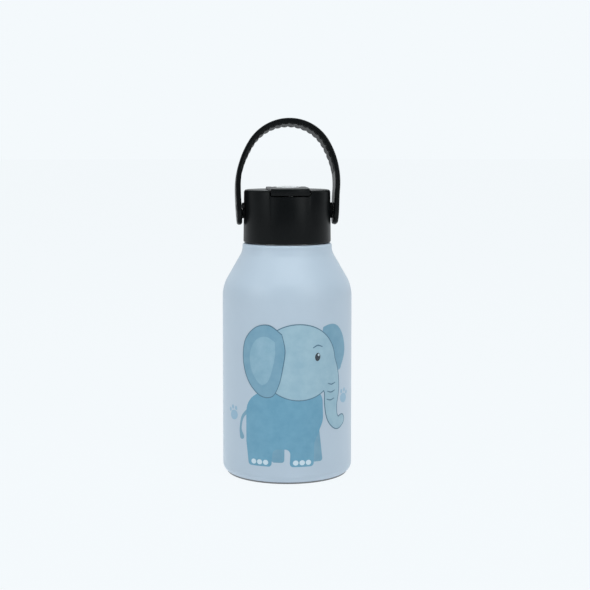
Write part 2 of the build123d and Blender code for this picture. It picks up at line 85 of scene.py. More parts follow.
def clean(piece):
    """Merge doubles and turn every face outwards."""
    pick(piece)
    bpy.ops.object.mode_set(mode="EDIT")
    bpy.ops.mesh.select_all(action="SELECT")
    bpy.ops.mesh.remove_doubles(threshold=TOUCHING)
    bpy.ops.mesh.normals_make_consistent(inside=False)
    bpy.ops.object.mode_set(mode="OBJECT")


def close_holes(piece):
    """Fill every open rim."""
    pick(piece)
    bpy.ops.object.mode_set(mode="EDIT")
    bpy.ops.mesh.select_mode(type="VERT")
    bpy.ops.mesh.select_all(action="DESELECT")
    bpy.ops.mesh.select_non_manifold()
    bpy.ops.mesh.fill_holes(sides=0)
    bpy.ops.object.mode_set(mode="OBJECT")
    clean(piece)


# %% [markdown]
# ## Rounded paths
# Pressed steel and moulded plastic have no sharp corners. A path is written as its corner points, each with the
# radius of its rounding, and the rounding is laid in as short steps. The same helper serves the bottle's profile,
# the cover's outline and the lid's recesses.


# %% A path with rounded corners
def rounded(corners, steps=6, ring=False):
    """Corners (a, b) or (a, b, radius) become a list of points, with each rounding in short steps."""
    count = len(corners)
    path = []
    for i, corner in enumerate(corners):
        here = Vector(corner[:2])
        radius = corner[2] if len(corner) > 2 else 0
        if radius == 0 or (not ring and i in (0, count - 1)):
            path.append(tuple(here))
            continue
        back = (Vector(corners[i - 1][:2]) - here).normalized()
        on = (Vector(corners[(i + 1) % count][:2]) - here).normalized()
        half = back.angle(on) / 2
        middle = here + (back + on).normalized() * (radius / sin(half))
        start = here + back * (radius / tan(half)) - middle
        end = here + on * (radius / tan(half)) - middle
        sweep = start.angle(end)
        for k in range(steps + 1):
            t = k / steps
            part = (start * sin((1 - t) * sweep) + end * sin(t * sweep)) / sin(sweep)
            path.append(tuple(middle + part))
    return path


def spaced(path, longest):
    """Long straight runs get extra points, so that no face is much longer than it is wide."""
    result = [path[0]]
    for a, b in zip(path, path[1:]):
        pieces = max(1, ceil(hypot(b[0] - a[0], b[1] - a[1]) / longest))
        for k in range(1, pieces + 1):
            result.append((a[0] + (b[0] - a[0]) * k / pieces, a[1] + (b[1] - a[1]) * k / pieces))
    return result


# %% [markdown]
# ## Turning on the lathe
# Round pieces could be cylinders with cuts, but a profile spun round the axis gives even quads that follow the
# form. One point is drawn out along the profile by extruding it, and Spin carries the line round. The first and
# last turn meet, so the doubles are merged. Where a profile stops short of the axis, its round hole is filled.


# %% Extrude a point along a profile and spin it
def drawn_line(path):
    """One vertex extruded along (radius, height) points in millimetres."""
    nothing_selected()
    bpy.ops.mesh.primitive_plane_add(size=MM, location=(0, 0, 0))
    line = bpy.context.object
    bpy.ops.object.mode_set(mode="EDIT")
    bpy.ops.mesh.select_all(action="SELECT")
    bpy.ops.mesh.merge(type="CENTER")
    bpy.ops.transform.translate(value=(path[0][0] * MM, 0, path[0][1] * MM))
    for a, b in zip(path, path[1:]):
        step = ((b[0] - a[0]) * MM, 0, (b[1] - a[1]) * MM)
        bpy.ops.mesh.extrude_region_move(TRANSFORM_OT_translate={"value": step})
    return line


def turned(name, path, sides=144, wall=0, fill=False, angle=35):
    """A profile spun about the axis; wall gives sheet metal its thickness, fill closes the round holes."""
    piece = drawn_line(path)
    bpy.ops.mesh.select_all(action="SELECT")
    bpy.ops.mesh.spin(steps=sides, angle=2 * pi, center=(0, 0, 0), axis=(0, 0, 1))
    bpy.ops.mesh.select_all(action="SELECT")
    bpy.ops.mesh.remove_doubles(threshold=TOUCHING)
    bpy.ops.object.mode_set(mode="OBJECT")
    clean(piece)
    if fill:
        close_holes(piece)
    if wall:
        skin = piece.modifiers.new("wall", "SOLIDIFY")
        skin.thickness = wall * MM
        skin.offset = -1
        bpy.ops.object.modifier_apply(modifier="wall")
    return settle(piece, name, angle)


# %% [markdown]
# ## Painted outer wall
# The real wall is one steel tube, drawn in at the shoulder and collar, then powder coated. Its profile is one
# open line and Solidify gives it the thickness of the sheet, which is how the metal is. The sizes below are the
# ones that the CAD model was built to.

# %% Turn the painted wall
BODY_R = 36.5
WALL = 0.5
SKIRT_Z = 0.9
BASE_ROUND = 5.0
BASE_MID = 5.1
COLLAR_R = 25.2
COLLAR_TOP = 129.9
SHOULDER_TOP = 125.4
CONE = tan(radians(29.8))
shoulder_foot = SHOULDER_TOP - (BODY_R - COLLAR_R) / CONE
hem = asin((SKIRT_Z - BASE_MID) / BASE_ROUND)
SKIRT_STEPS = 8
skirt = [(BODY_R - BASE_ROUND + BASE_ROUND * cos(hem * (1 - k / SKIRT_STEPS)),
          BASE_MID + BASE_ROUND * sin(hem * (1 - k / SKIRT_STEPS))) for k in range(SKIRT_STEPS + 1)]
upper = rounded([(BODY_R, BASE_MID), (BODY_R, shoulder_foot, 21), (COLLAR_R, SHOULDER_TOP, 10),
                 (COLLAR_R, COLLAR_TOP, 1.3), (21.0, COLLAR_TOP)], 8)
painted_wall = turned("painted_wall", spaced(skirt[:-1] + upper, 4.0), wall=WALL)
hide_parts("outer_shell")
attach(painted_wall, "bottle")

# %% [markdown]
# ## Foot and plate
# Underneath, a pressed steel cup closes the vacuum gap. Only its bare rim shows, as a thin line under the paint.
# A round plate with one raised step covers the sealing point.

# %% Turn the foot and its plate
foot_path = rounded([
    (3.0, 3.8), (3.4, 2.6, 0.3), (31.0, 2.6, 0.8), (32.2, 0, 0.3), (33.9, 0, 0.3), (34.2, 0.35, 0.2), (34.2, 0.9),
    (33.4, 0.9), (33.3, 0.55, 0.1), (32.5, 0.55, 0.2), (31.3, 3.1, 0.4), (3.7, 3.1, 0.3), (3.3, 4.3), (3.0, 4.3)],
    4, ring=True)
steel_foot = turned("steel_foot", foot_path + foot_path[:1])
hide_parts("outer_base")
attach(steel_foot, "bottle")

plate_path = rounded([(0.6, 2.35), (7.9, 2.35, 0.4), (8.7, 2.05, 0.4), (29.9, 2.05, 0.25), (30.3, 2.3, 0.1),
                      (30.3, 2.6), (0.6, 2.6)], 4)
foot_plate = turned("foot_plate", spaced(plate_path, 3.0), fill=True)
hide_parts("base_cover")
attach(foot_plate, "bottle")

# %% [markdown]
# ## Lid shell
# The lid is one moulding: a short round cap with a channel for the folded mouthpiece, a shallow seat for the flip
# cover, a notch in front for the cover's lip and two ears for its pin. The cap is turned, the hollows are cut
# with Boolean tools shaped like the mould's cores, and a Bevel softens every rim as the tool's radius does.


# %% Flat-sided tools
def slab(outline, axis, low, high):
    """An outline in millimetres pulled from low to high. Axis Z takes (x, y), X takes (y, z), Y takes (x, z)."""
    nothing_selected()
    bpy.ops.mesh.primitive_circle_add(vertices=len(outline), radius=MM, fill_type="NGON")
    piece = bpy.context.object
    put = {"Z": lambda a, b: (a, b, low), "X": lambda a, b: (low, a, b), "Y": lambda a, b: (a, low, b)}[axis]
    for vertex, point in zip(piece.data.vertices, outline):
        vertex.co = Vector(put(*point)) * MM
    pull = {"Z": (0, 0, 1), "X": (1, 0, 0), "Y": (0, 1, 0)}[axis]
    bpy.ops.object.mode_set(mode="EDIT")
    bpy.ops.mesh.select_all(action="SELECT")
    bpy.ops.mesh.extrude_region_move(TRANSFORM_OT_translate={"value": [v * (high - low) * MM for v in pull]})
    bpy.ops.object.mode_set(mode="OBJECT")
    clean(piece)
    return piece


def bar(radius, low, high, y, z, sides=48):
    """A round bar along X."""
    ring = [(y + radius * cos(2 * pi * k / sides), z + radius * sin(2 * pi * k / sides)) for k in range(sides)]
    return slab(ring, "X", low, high)


def work(piece, tool, how):
    """Cut, join or keep the overlap with a tool, which is used up."""
    pick(piece)
    step = piece.modifiers.new("step", "BOOLEAN")
    step.operation = how
    step.solver = "EXACT"
    step.object = tool
    bpy.ops.object.modifier_apply(modifier="step")
    bpy.data.objects.remove(tool)


def soften(piece, width, segments=2, angle=30):
    """Round every edge that turns more than the angle."""
    clean(piece)
    edge = piece.modifiers.new("edge", "BEVEL")
    edge.width = width * MM
    edge.segments = segments
    edge.limit_method = "ANGLE"
    edge.angle_limit = radians(angle)
    edge.use_clamp_overlap = False
    bpy.ops.object.modifier_apply(modifier="edge")


# %% Turn the cap
LID_TOP = 160.0
LID_LOW = 130.4
LID_R_LOW = 24.7
LID_R_TOP = 24.35
FLOOR_Z = 145.4
cap_path = rounded([(1.0, FLOOR_Z), (23.2, FLOOR_Z), (23.2, LID_LOW), (LID_R_LOW, LID_LOW, 0.8),
                    (LID_R_TOP, LID_TOP, 1.5), (1.0, LID_TOP)], 4)
lid_cap = turned("lid_cap", cap_path, sides=128, fill=True)

# %% Join the handle bosses and cut the channel, seat and notch
PIVOT_Z = 148.2
BOSS_R = 4.45
for side in (-1, 1):
    inner, outer = sorted((side * 22.0, side * 25.45))
    work(lid_cap, bar(BOSS_R, inner, outer, 0, PIVOT_Z, 64), "UNION")
HINGE_Y = 9.0
HINGE_Z = LID_TOP - 1.5
SEAT_HALF = 11.65
NOTCH_HALF = 11.4
NOTCH_LOW = 156.5
CHANNEL_HALF = 6.2
CHANNEL_FRONT = -21.4
CHANNEL_BACK = 4.9
work(lid_cap, slab(rounded([(-CHANNEL_HALF, CHANNEL_FRONT, 1.5), (CHANNEL_HALF, CHANNEL_FRONT, 1.5),
                            (CHANNEL_HALF, CHANNEL_BACK, 1.5), (-CHANNEL_HALF, CHANNEL_BACK, 1.5)], 5, True),
                   "Z", 146.8, 162), "DIFFERENCE")
work(lid_cap, slab(rounded([(-SEAT_HALF, HINGE_Y), (-SEAT_HALF, -15, 6), (-NOTCH_HALF, -21.4), (-NOTCH_HALF, -27),
                            (NOTCH_HALF, -27), (NOTCH_HALF, -21.4), (SEAT_HALF, -15, 6), (SEAT_HALF, HINGE_Y)],
                           6, True), "Z", 158.05, 163), "DIFFERENCE")
work(lid_cap, slab(rounded([(-NOTCH_HALF, NOTCH_LOW, 1.7), (NOTCH_HALF, NOTCH_LOW, 1.7), (NOTCH_HALF, 163),
                            (-NOTCH_HALF, 163)], 6, True), "Y", -30, -20.6), "DIFFERENCE")

# %% Cut the hinge trough, then add the two ears
lean = radians(120)
reach = 3.3
BARREL_R = 2.85
slope_y, slope_z = HINGE_Y + sin(lean) * reach, HINGE_Z + cos(lean) * reach
work(lid_cap, slab([(HINGE_Y - 4, HINGE_Z), (HINGE_Y, HINGE_Z), (slope_y, slope_z),
                    (slope_y - cos(lean) * 8, slope_z + sin(lean) * 8), (HINGE_Y - 4, slope_z + sin(lean) * 8)],
                   "X", -SEAT_HALF, SEAT_HALF), "DIFFERENCE")
work(lid_cap, bar(reach, -SEAT_HALF, SEAT_HALF, HINGE_Y, HINGE_Z), "DIFFERENCE")
for side in (-1, 1):
    inner, outer = sorted((side * 8.3, side * 11.3))
    work(lid_cap, bar(BARREL_R, inner, outer, HINGE_Y, HINGE_Z), "UNION")
    inner, outer = sorted((side * 8.3, side * 11.85))
    work(lid_cap, slab([(HINGE_Y - 1.4, 154.0), (HINGE_Y + 1.4, 154.0), (HINGE_Y + 1.4, HINGE_Z),
                        (HINGE_Y - 1.4, HINGE_Z)], "X", inner, outer), "UNION")
work(lid_cap, bar(1.0, -11.0, 11.0, HINGE_Y, HINGE_Z, 32), "DIFFERENCE")
soften(lid_cap, 0.22)
settle(lid_cap, "lid_cap", 40)
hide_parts("lid_shell")
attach(lid_cap, "lid")

# %% [markdown]
# ## Flip cover and its soft pad
# The cover is a thin crowned leaf with a lip that drops into the notch and a barrel that turns on the pin. Its
# side view is pulled across, then trimmed by its plan and by the cap's round wall. The pale pad on top is a low
# soft dome: its flat top is extruded up and scaled towards its middle in small steps that rise less and less.

# %% Make the cover
COVER_HALF = 11.3
LIP_HALF = 10.7
LIP_LOW = 157.1
BARREL_HALF = 7.3
leaf_top = HINGE_Z + BARREL_R
leaf_side = rounded([(HINGE_Y, 158.4), (HINGE_Y, leaf_top), (-8.0, leaf_top, 60), (-30, leaf_top - 0.62),
                     (-30, LIP_LOW), (-21.0, LIP_LOW), (-21.0, 158.4)], 8, True)
cover_leaf = slab(leaf_side, "X", -COVER_HALF, COVER_HALF)
leaf_plan = rounded([(-BARREL_HALF, HINGE_Y + 1), (-BARREL_HALF, 5.65), (-COVER_HALF, 5.65, 0.6),
                     (-COVER_HALF, -15, 6),
                     (-LIP_HALF, -21), (-LIP_HALF, -30), (LIP_HALF, -30), (LIP_HALF, -21), (COVER_HALF, -15, 6),
                     (COVER_HALF, 5.65, 0.6), (BARREL_HALF, 5.65), (BARREL_HALF, HINGE_Y + 1)], 6, True)
work(cover_leaf, slab(leaf_plan, "Z", 150, 170), "INTERSECT")
RIM_SIDES = 128
rim = [(LID_R_TOP * cos(2 * pi * k / RIM_SIDES), LID_R_TOP * sin(2 * pi * k / RIM_SIDES))
       for k in range(RIM_SIDES)]
work(cover_leaf, slab(rim, "Z", 150, 170), "INTERSECT")
work(cover_leaf, bar(BARREL_R, -BARREL_HALF, BARREL_HALF, HINGE_Y, HINGE_Z, 64), "UNION")
work(cover_leaf, bar(1.05, -8, 8, HINGE_Y, HINGE_Z, 32), "DIFFERENCE")
soften(cover_leaf, 0.4, 3, 40)
settle(cover_leaf, "cover_leaf", 40)
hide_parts("flip_cover")
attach(cover_leaf, "cover")

# %% Raise the pad
PAD_HALF = 6.2
PAD_TOP = 162.1
PAD_BACK = 4.5
PAD_FRONT = -12
PAD_TIP = 0.03  # the last ring's size, as a share of the first
pad_outline = rounded([(-PAD_HALF, PAD_BACK, 3), (PAD_HALF, PAD_BACK, 3), (PAD_HALF, PAD_FRONT, 5.9),
                       (-PAD_HALF, PAD_FRONT, 5.9)], 8, True)
cover_pad = slab(pad_outline, "Z", 160.8, leaf_top)
bpy.ops.object.mode_set(mode="EDIT")
bpy.ops.mesh.select_all(action="DESELECT")
bpy.ops.object.mode_set(mode="OBJECT")
for face in cover_pad.data.polygons:
    face.select = face.normal.z > 0.9
bpy.ops.object.mode_set(mode="EDIT")
bpy.ops.mesh.select_mode(type="FACE")
pad_steps = 10
pad_middle = (0, (PAD_BACK + PAD_FRONT) / 2 * MM, 0)
for k in range(pad_steps):
    was = 1 - k / pad_steps
    now = 1 - (k + 1) / pad_steps if k < pad_steps - 1 else PAD_TIP
    lift = (was ** 2 - now ** 2) * (PAD_TOP - leaf_top) * MM
    bpy.ops.mesh.extrude_region_move(TRANSFORM_OT_translate={"value": (0, 0, lift)})
    bpy.ops.transform.resize(value=(now / was, now / was, 1), center_override=pad_middle)
bpy.ops.object.mode_set(mode="OBJECT")
clean(cover_pad)
settle(cover_pad, "cover_pad", 60)
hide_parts("cover_inlay")
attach(cover_pad, "cover")

# %% [markdown]
# ## Pieces that follow a path
# The handle, its grip and the mouthpiece are long forms with a changing section. A grid is rolled into a tube: its
# rows become stations along the path and its columns run round the section, and every crossing point is carried
# to its place. The two ends are closed, and the seam is merged.


# %% Roll a grid along a path
def rolled(name, stations, around, place, angle=50):
    """place(s, t) gives a point in millimetres for s along the path and t round the section, both from 0 to 1."""
    nothing_selected()
    bpy.ops.mesh.primitive_grid_add(x_subdivisions=around, y_subdivisions=stations, size=2)
    piece = bpy.context.object
    for vertex in piece.data.vertices:
        vertex.co = Vector(place((vertex.co.y + 1) / 2, ((vertex.co.x + 1) / 2) % 1.0)) * MM
    clean(piece)
    close_holes(piece)
    return settle(piece, name, angle)


def soft_box(t, half_a, half_b, radius):
    """A point on a box section with rounded corners, t from 0 to 1 once round."""
    straight_a, straight_b = half_a - radius, half_b - radius
    runs = [2 * straight_b, pi * radius / 2, 2 * straight_a, pi * radius / 2] * 2
    s = t * sum(runs)
    corners = [(half_a, -straight_b, 0, 1), (straight_a, straight_b, 0, 1), (straight_a, half_b, -1, 0),
               (-straight_a, straight_b, 1, 0), (-half_a, straight_b, 0, -1), (-straight_a, -straight_b, 2, 0),
               (-straight_a, -half_b, 1, 0), (straight_a, -straight_b, 3, 0)]
    for i, run in enumerate(runs):
        if s <= run or i == 7:
            break
        s -= run
    a, b, c, d = corners[i]
    if i % 2 == 0:
        return (a + c * s, b + d * s)
    turn = (i // 2) * pi / 2 + s / radius
    return (a + radius * cos(turn), b + radius * sin(turn))


# %% [markdown]
# ## Carry handle
# The band is one springy moulding: two straight arms that lean in a little, then wide arcs into a round crown. It
# is widest at the pins and narrower at the top. The grip on its inside is softer and has shallow waves for the
# fingers. Both are rolled along the same arch and then leaned back about the pins, as the handle stands at rest.

# %% The arch they share
ARCH_HALF, WIDE_V, CROWN_R, CROWN_V = 29.4, 14.3, 26.3, 51.8
BAND_T = 2.85
ARM_END = 8.15
LEAN = radians(-8.5)
SWAY = 1.6
SWAY_FROM = 8.0
arm_slope = radians(2.9)
rise = CROWN_V - CROWN_R - WIDE_V
SIDE_R = (ARCH_HALF ** 2 - CROWN_R ** 2 + rise ** 2) / (2 * (ARCH_HALF - CROWN_R))
side_x = ARCH_HALF - SIDE_R
join = asin(rise / (SIDE_R - CROWN_R))
foot_v = WIDE_V - SIDE_R * sin(arm_slope)
arm_run = (foot_v + ARM_END) / cos(arm_slope)
side_run = SIDE_R * (join + arm_slope)
crown_run = CROWN_R * (pi / 2 - join)
half_run = arm_run + side_run + crown_run


def on_arch(run, depth):
    """(x, height above the pins) at a run along the outer face from the arm's end, and a depth in from it."""
    side = 1
    if run > half_run:
        run, side = 2 * half_run - run, -1
    if run < arm_run:
        x = side_x + SIDE_R * cos(arm_slope) - (arm_run - run) * sin(arm_slope) - depth * cos(arm_slope)
        v = foot_v - (arm_run - run) * cos(arm_slope) + depth * sin(arm_slope)
    elif run < arm_run + side_run:
        turn = (run - arm_run) / SIDE_R - arm_slope
        x, v = side_x + (SIDE_R - depth) * cos(turn), WIDE_V + (SIDE_R - depth) * sin(turn)
    else:
        turn = join + (run - arm_run - side_run) / CROWN_R
        x = (CROWN_R - depth) * cos(turn)
        v = CROWN_V - CROWN_R + (CROWN_R - depth) * sin(turn)
    return side * x, v


def leaned(x, w, v):
    """A point of the upright handle, w behind its plane, leaned back about the pins and swayed a little."""
    x += SWAY * max(0.0, v - SWAY_FROM) / (CROWN_V - SWAY_FROM)
    return (x, w * cos(LEAN) - v * sin(LEAN), PIVOT_Z + w * sin(LEAN) + v * cos(LEAN))


print("arch length, mm:", round(2 * half_run, 1))


# %% Roll the band, with round arm ends
END_ROUND = 1.4
CROWN_HALF = 6.5
END_SHARE = 0.08  # the share of the stations at each end that crowd together
PIN_HOLE_R = 1.55
HEAD_HOLE_R = 3.8


def band_width(v):
    if v < 0:
        return sqrt(max(ARM_END ** 2 - v ** 2, 0.01))
    return ARM_END - (ARM_END - CROWN_HALF) * v / CROWN_V


def band_point(s, t):
    # the stations crowd together at the two ends, where the outline turns quickly
    run = half_run * (1 - cos(pi * s))
    if END_SHARE < s < 1 - END_SHARE:
        end_run = half_run * (1 - cos(pi * END_SHARE))
        run = end_run + 2 * (half_run - end_run) * (s - END_SHARE) / (1 - 2 * END_SHARE)
    x, v = on_arch(run, 0)
    half = band_width(v)
    to_end = min(1.0, min(run, 2 * half_run - run) / END_ROUND)
    thick = max(BAND_T / 2 * sqrt(1 - (1 - to_end) ** 2), 0.12)
    edge = min(0.75, half * 0.9, thick * 0.9)
    a, b = soft_box(t, thick, max(half, edge + 0.05), edge)
    x, v = on_arch(run, BAND_T / 2 - a)
    return leaned(x, b, v)


handle_arch = rolled("handle_arch", 220, 40, band_point)
for side in (-1, 1):
    inner, outer = sorted((side * 25.75, side * 27.4))
    work(handle_arch, bar(BOSS_R, inner, outer, 0, PIVOT_Z, 64), "UNION")
    inner, outer = sorted((side * 27.7, side * 31))
    work(handle_arch, bar(HEAD_HOLE_R, inner, outer, 0, PIVOT_Z, 64), "DIFFERENCE")
    inner, outer = sorted((side * 24, side * 31))
    work(handle_arch, bar(PIN_HOLE_R, inner, outer, 0, PIVOT_Z, 32), "DIFFERENCE")
settle(handle_arch, "handle_arch", 35)
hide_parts("handle_band")
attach(handle_arch, "handle")

# %% Roll the ribbed grip
RIBS = 22
GRIP_HALF = 6.0
GRIP_V = 21.5
RIB_RISE = 0.55
grip_start = arm_run + SIDE_R * (asin((GRIP_V - WIDE_V) / (SIDE_R - BAND_T)) + arm_slope)
grip_run = 2 * (half_run - grip_start)


def grip_point(s, t):
    run = grip_start + grip_run * s
    wave = abs(sin(pi * RIBS * s))
    taper = min(1.0, 8 * s, 8 * (1 - s))
    skin = BAND_T + 0.2 + (RIB_RISE * wave ** 0.8) * taper
    low = BAND_T - 1.1
    middle = (skin + low) / 2
    a, b = soft_box(t, (skin - low) / 2, GRIP_HALF, 0.45)
    x, v = on_arch(run, middle - a)
    return leaned(x, b, v)


handle_ribs = rolled("handle_ribs", RIBS * 10, 32, grip_point, 70)
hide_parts("handle_grip")
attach(handle_ribs, "handle")

# %% [markdown]
# ## Handle pins
# Each arm turns on a headed steel pin pressed into the lid. The head is turned with a slight dome and a rounded
# rim. It is drawn upright on the lathe, then laid along X; the left pin is the right one mirrored.

# %% Turn one pin and mirror it
pin_path = rounded([(0.4, 18.0), (1.5, 18.0, 0.4), (1.5, 28.0), (3.5, 28.0, 0.15), (3.5, 28.45, 0.3),
                    (0.4, 28.62)], 4)
right_pin = turned("right_handle_pin", pin_path, sides=48, fill=True)
for vertex in right_pin.data.vertices:
    x, y, z = vertex.co
    vertex.co = (z, y, PIVOT_Z * MM - x)
clean(right_pin)
pick(right_pin)
bpy.ops.object.duplicate()
left_pin = bpy.context.object
for vertex in left_pin.data.vertices:
    vertex.co.x = -vertex.co.x
clean(left_pin)
settle(right_pin, "right_handle_pin")
settle(left_pin, "left_handle_pin")
for piece, node in ((right_pin, "handle_pin_right"), (left_pin, "handle_pin_left")):
    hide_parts(node)
    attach(piece, "lid")

# %% [markdown]
# ## Mouthpiece
# One silicone moulding: a root gripped in the lid's floor, a soft elbow and a tube with a wider bite tip. It lies
# folded while the cover is shut. It is rolled as one skin along an elbow.

# %% Roll the mouthpiece
FOLD_Z = 153.0
ELBOW = 4.5
ROOT_Z = 135.2
SPOUT_LEN = 20.8
OUTER_SHARE = 0.7  # of the stations; the rest line the bore
BORE_DEPTH = 9.0
straight_up = FOLD_Z - ELBOW - ROOT_Z
elbow_run = ELBOW * pi / 2
tube_run = SPOUT_LEN - ELBOW


def spout_point(s, t):
    total = straight_up + elbow_run + tube_run
    outside = s <= OUTER_SHARE
    run = total * (s / OUTER_SHARE) if outside else total - (s - OUTER_SHARE) / 0.3 * BORE_DEPTH
    radius = 3.2 if run < 7.6 else 4.0 if run < 11.4 else 4.75 if run < 13.0 else 3.9
    if run > straight_up + elbow_run:
        along = (run - straight_up - elbow_run) / tube_run
        radius = 3.9 - 0.5 * sin(pi * along) + 0.45 * along ** 3
        radius -= 0.9 * max(0, (along - 0.94) / 0.06) ** 2
    wide, tall = radius, radius
    if not outside:
        wide, tall = min(radius, 2.3), min(radius, 2.0)
    turn = 2 * pi * t
    across, out = wide * cos(turn), tall * sin(turn)
    if run < straight_up:
        return (across, out, ROOT_Z + run)
    if run < straight_up + elbow_run:
        bend = (run - straight_up) / ELBOW
        return (across, -ELBOW + (ELBOW + out) * cos(bend), FOLD_Z - ELBOW + (ELBOW + out) * sin(bend))
    return (across, -ELBOW - (run - straight_up - elbow_run), FOLD_Z + out)


soft_spout = rolled("soft_spout", 120, 40, spout_point, 60)
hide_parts("mouthpiece", "mouthpiece_root")
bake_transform(soft_spout)

# %% [markdown]
# ## Small silicone pieces
# The gasket, the straw's sleeve and the vent valve are rings and plugs that show when the lid is off. Each is
# turned from a rounded section, because soft mouldings have no sharp rims.

# %% Turn the gasket, the sleeve and the valve
gasket_path = rounded([(19.4, 142.5, 0.5), (21.8, 142.5, 0.5), (21.8, 144.15, 0.3), (20.9, 144.15, 0.2),
                       (20.6, 143.8, 0.2), (20.3, 144.15, 0.2), (19.4, 144.15, 0.3)], 4, True)
soft_gasket = turned("soft_gasket", gasket_path + gasket_path[:1], sides=96)
sleeve_path = rounded([(3.25, 127.3, 0.2), (4.3, 127.3, 0.4), (4.3, 131.0, 0.3), (4.05, 131.6, 0.3),
                       (4.05, 134.2, 0.3), (4.3, 134.8, 0.3), (4.3, 138.5, 0.4), (3.25, 138.5, 0.2)], 4, True)
straw_sleeve = turned("straw_sleeve", sleeve_path + sleeve_path[:1], sides=48)
valve_path = rounded([(0.3, 140.7), (2.2, 140.9, 0.5), (2.9, 142.9, 0.3), (2.9, 143.9, 0.25), (1.6, 144.1, 0.2),
                      (1.6, 145.3, 0.3), (0.3, 145.3)], 4)
vent_plug = turned("vent_plug", valve_path, sides=48, fill=True)
VENT_Y = -13.0
for vertex in vent_plug.data.vertices:
    vertex.co.y += VENT_Y * MM
for piece, node, body in ((soft_gasket, "lid_gasket", "seal_ring"), (straw_sleeve, "straw_connector", "lid"),
                          (vent_plug, "vent_valve", "lid")):
    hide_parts(node)
    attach(piece, body)

# %% [markdown]
# ## The printed calf
# A picture of an elephant calf is printed on the wall. It could be a colour map, but a print is a real thin film
# of ink, so each tone is cut as a flat sheet, sliced so that it can bend, and wrapped round the wall a few
# hundredths of a millimetre above the paint. The drawing is a plain calf seen from the side.


# %% Outlines of the drawing
def oval(u, z, half_u, half_z, tilt=0.0, count=48):
    """An ellipse, tilted by degrees, as points (u round the wall, z up) in millimetres."""
    c, s = cos(radians(tilt)), sin(radians(tilt))
    ring = [(half_u * cos(2 * pi * k / count), half_z * sin(2 * pi * k / count)) for k in range(count)]
    return [(u + a * c - b * s, z + a * s + b * c) for a, b in ring]


def flowing(points, steps=8):
    """A smooth curve through the points, which may carry a width as a third number."""
    ends = [points[0]] + list(points) + [points[-1]]
    curve = []
    for i in range(1, len(ends) - 2):
        for k in range(steps):
            t = k / steps
            curve.append(tuple(
                0.5 * (2 * b + (c - a) * t + (2 * a - 5 * b + 4 * c - d) * t ** 2
                       + (3 * b - a - 3 * c + d) * t ** 3)
                for a, b, c, d in zip(ends[i - 1], ends[i], ends[i + 1], ends[i + 2])))
    return curve + [tuple(points[-1])]


def ribbon(points, grow=0.0):
    """A band along a smooth curve of (u, z, half width), with a round end."""
    curve = flowing(points)
    left, right = [], []
    for i, (u, z, half) in enumerate(curve):
        before, after = curve[max(i - 1, 0)], curve[min(i + 1, len(curve) - 1)]
        along = Vector((after[0] - before[0], after[1] - before[1])).normalized()
        half += grow
        left.append((u - along.y * half, z + along.x * half))
        right.append((u + along.y * half, z - along.x * half))
    u, z, half = curve[-1]
    half += grow
    tip = [(u + half * (along.x * sin(a) - along.y * cos(a)), z + half * (along.y * sin(a) + along.x * cos(a)))
           for a in [pi * k / 10 for k in range(1, 10)]]
    return left + tip + right[::-1]


def grown(outline, by):
    """The outline moved outwards, for the darker line behind a shape."""
    mid = Vector((sum(p[0] for p in outline), sum(p[1] for p in outline))) / len(outline)
    return [tuple(Vector(p) + (Vector(p) - mid).normalized() * by) for p in outline]


# %% Cut a film and wrap it on the wall
FILM_T = 0.02
FILM_GAP = 0.015   # between the paint and the first film
LAYER_GAP = 0.006
SLICE = 1.5        # width of the strips that let a film bend
LINE = 0.5         # width of the drawn outline
PRINT_TURN = radians(0.8)
CALF_SCALE = 1.08
CALF_SHIFT = -1.5
CALF_FOOT = 10.0
films = []


def film(name, outline, layer, ink, scale=CALF_SCALE):
    """An ink sheet from its outline, wrapped on the straight wall."""
    outline = [((u + CALF_SHIFT) * scale if scale != 1 else u, CALF_FOOT + (z - CALF_FOOT) * scale)
               for u, z in outline]
    nothing_selected()
    bpy.ops.mesh.primitive_circle_add(vertices=len(outline), radius=MM, fill_type="NGON")
    piece = bpy.context.object
    for vertex, (u, z) in zip(piece.data.vertices, outline):
        vertex.co = Vector((u, 0, z)) * MM
    bpy.ops.object.mode_set(mode="EDIT")
    low = min(p[0] for p in outline)
    high = max(p[0] for p in outline)
    for k in range(1, ceil((high - low) / SLICE)):
        bpy.ops.mesh.select_all(action="SELECT")
        bpy.ops.mesh.bisect(plane_co=((low + SLICE * k) * MM, 0, 0), plane_no=(1, 0, 0))
    bpy.ops.object.mode_set(mode="OBJECT")
    radius = BODY_R + FILM_GAP + layer * (FILM_T + LAYER_GAP)
    for vertex in piece.data.vertices:
        turn = vertex.co.x / (BODY_R * MM) + PRINT_TURN
        vertex.co = (radius * MM * sin(turn), -radius * MM * cos(turn), vertex.co.z)
    clean(piece)
    pick(piece)
    bpy.ops.object.mode_set(mode="EDIT")
    bpy.ops.mesh.select_all(action="SELECT")
    bpy.ops.object.mode_set(mode="OBJECT")
    middle = sum((v.co for v in piece.data.vertices), Vector()) / len(piece.data.vertices)
    facing = sum((p.normal * p.area for p in piece.data.polygons), Vector())
    if facing.dot(Vector((middle.x, middle.y, 0))) < 0:
        bpy.ops.object.mode_set(mode="EDIT")
        bpy.ops.mesh.flip_normals()
        bpy.ops.object.mode_set(mode="OBJECT")
    sheet = piece.modifiers.new("ink", "SOLIDIFY")
    sheet.thickness = FILM_T * MM
    sheet.offset = 1
    bpy.ops.object.modifier_apply(modifier="ink")
    settle(piece, name, 35)
    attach(piece, "bottle")
    films.append((piece, ink))


